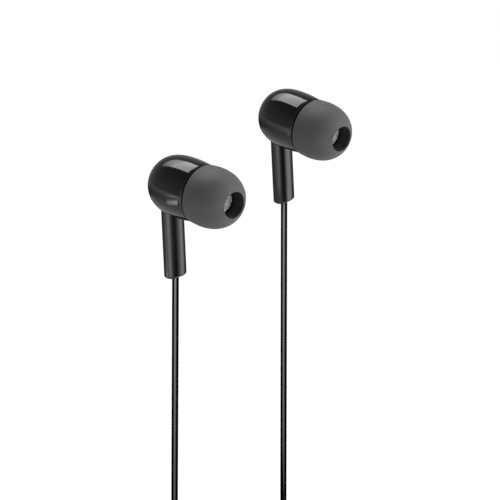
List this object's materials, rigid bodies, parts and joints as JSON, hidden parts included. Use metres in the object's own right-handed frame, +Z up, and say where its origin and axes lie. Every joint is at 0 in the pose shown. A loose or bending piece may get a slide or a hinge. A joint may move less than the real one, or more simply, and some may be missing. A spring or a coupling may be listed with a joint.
{
  "type": "wired earphones",
  "caption": "Pair of wired in-ear earphones with soft tips, capsule housings and flat stems, on thin cords that meet at a splitter and end in a 3.5 mm plug, spare cord tied.",
  "frame": {"origin": "centre of the left ear tip on its nozzle's axis, where the ear holds it", "axes": "+X along the left nozzle towards the ear, +Y from the left earphone to the right one, +Z up, away from the hanging cords"},
  "size_m": [0.0319, 0.0534, 0.1706],
  "materials": {
    "silicone": "matte",
    "screen": "woven wire",
    "cover": "satin",
    "shell": "gloss",
    "frame_plastic": "matte",
    "steel": "plain",
    "film": "clear film",
    "copper": "enamelled wire",
    "magnet": "nickel plated",
    "board": "satin",
    "cord": "satin",
    "tie": "matte",
    "moulding": "satin",
    "contact": "gold plated",
    "insulator": "satin"
  },
  "bodies": {
    "earphones": {"left_nozzle_screen": "screen", "left_front_cover": "cover", "left_rear_shell": "shell", "left_stem": "shell", "left_driver_frame": "frame_plastic", "left_driver_cap": "steel", "left_diaphragm": "film", "left_voice_coil": "copper", "left_top_plate": "steel", "left_magnet": "magnet", "left_yoke": "steel", "left_terminal_board": "board", "left_inner_leads": "copper", "left_cord_anchor": "steel", "left_cord": "cord", "left_cord_hank": "cord", "left_cord_end": "cord", "right_nozzle_screen": "screen", "right_front_cover": "cover", "right_rear_shell": "shell", "right_stem": "shell", "right_driver_frame": "frame_plastic", "right_driver_cap": "steel", "right_diaphragm": "film", "right_voice_coil": "copper", "right_top_plate": "steel", "right_magnet": "magnet", "right_yoke": "steel", "right_terminal_board": "board", "right_inner_leads": "copper", "right_cord_anchor": "steel", "right_cord": "cord", "right_cord_hank": "cord", "right_cord_end": "cord", "y_splitter": "moulding", "main_cord_loop": "cord", "main_cord_hank": "cord", "main_cord_tail": "cord", "hank_tie": "tie", "plug_strain_relief": "moulding", "plug_handle": "moulding", "plug_sleeve_contact": "contact", "plug_ring_contact": "contact", "plug_tip_contact": "contact", "plug_insulators": "insulator"},
    "left_tip": {"left_ear_tip": "silicone"},
    "right_tip": {"right_ear_tip": "silicone"}
  },
  "joints": [
    {"name": "left_tip_slide", "type": "slide", "parent": "earphones", "child": "left_tip", "axis": [1, 0, 0], "range_m": [0, 0.008]},
    {"name": "right_tip_slide", "type": "slide", "parent": "earphones", "child": "right_tip", "axis": [0.9986, 0, -0.0523], "range_m": [0, 0.008]}
  ]
}
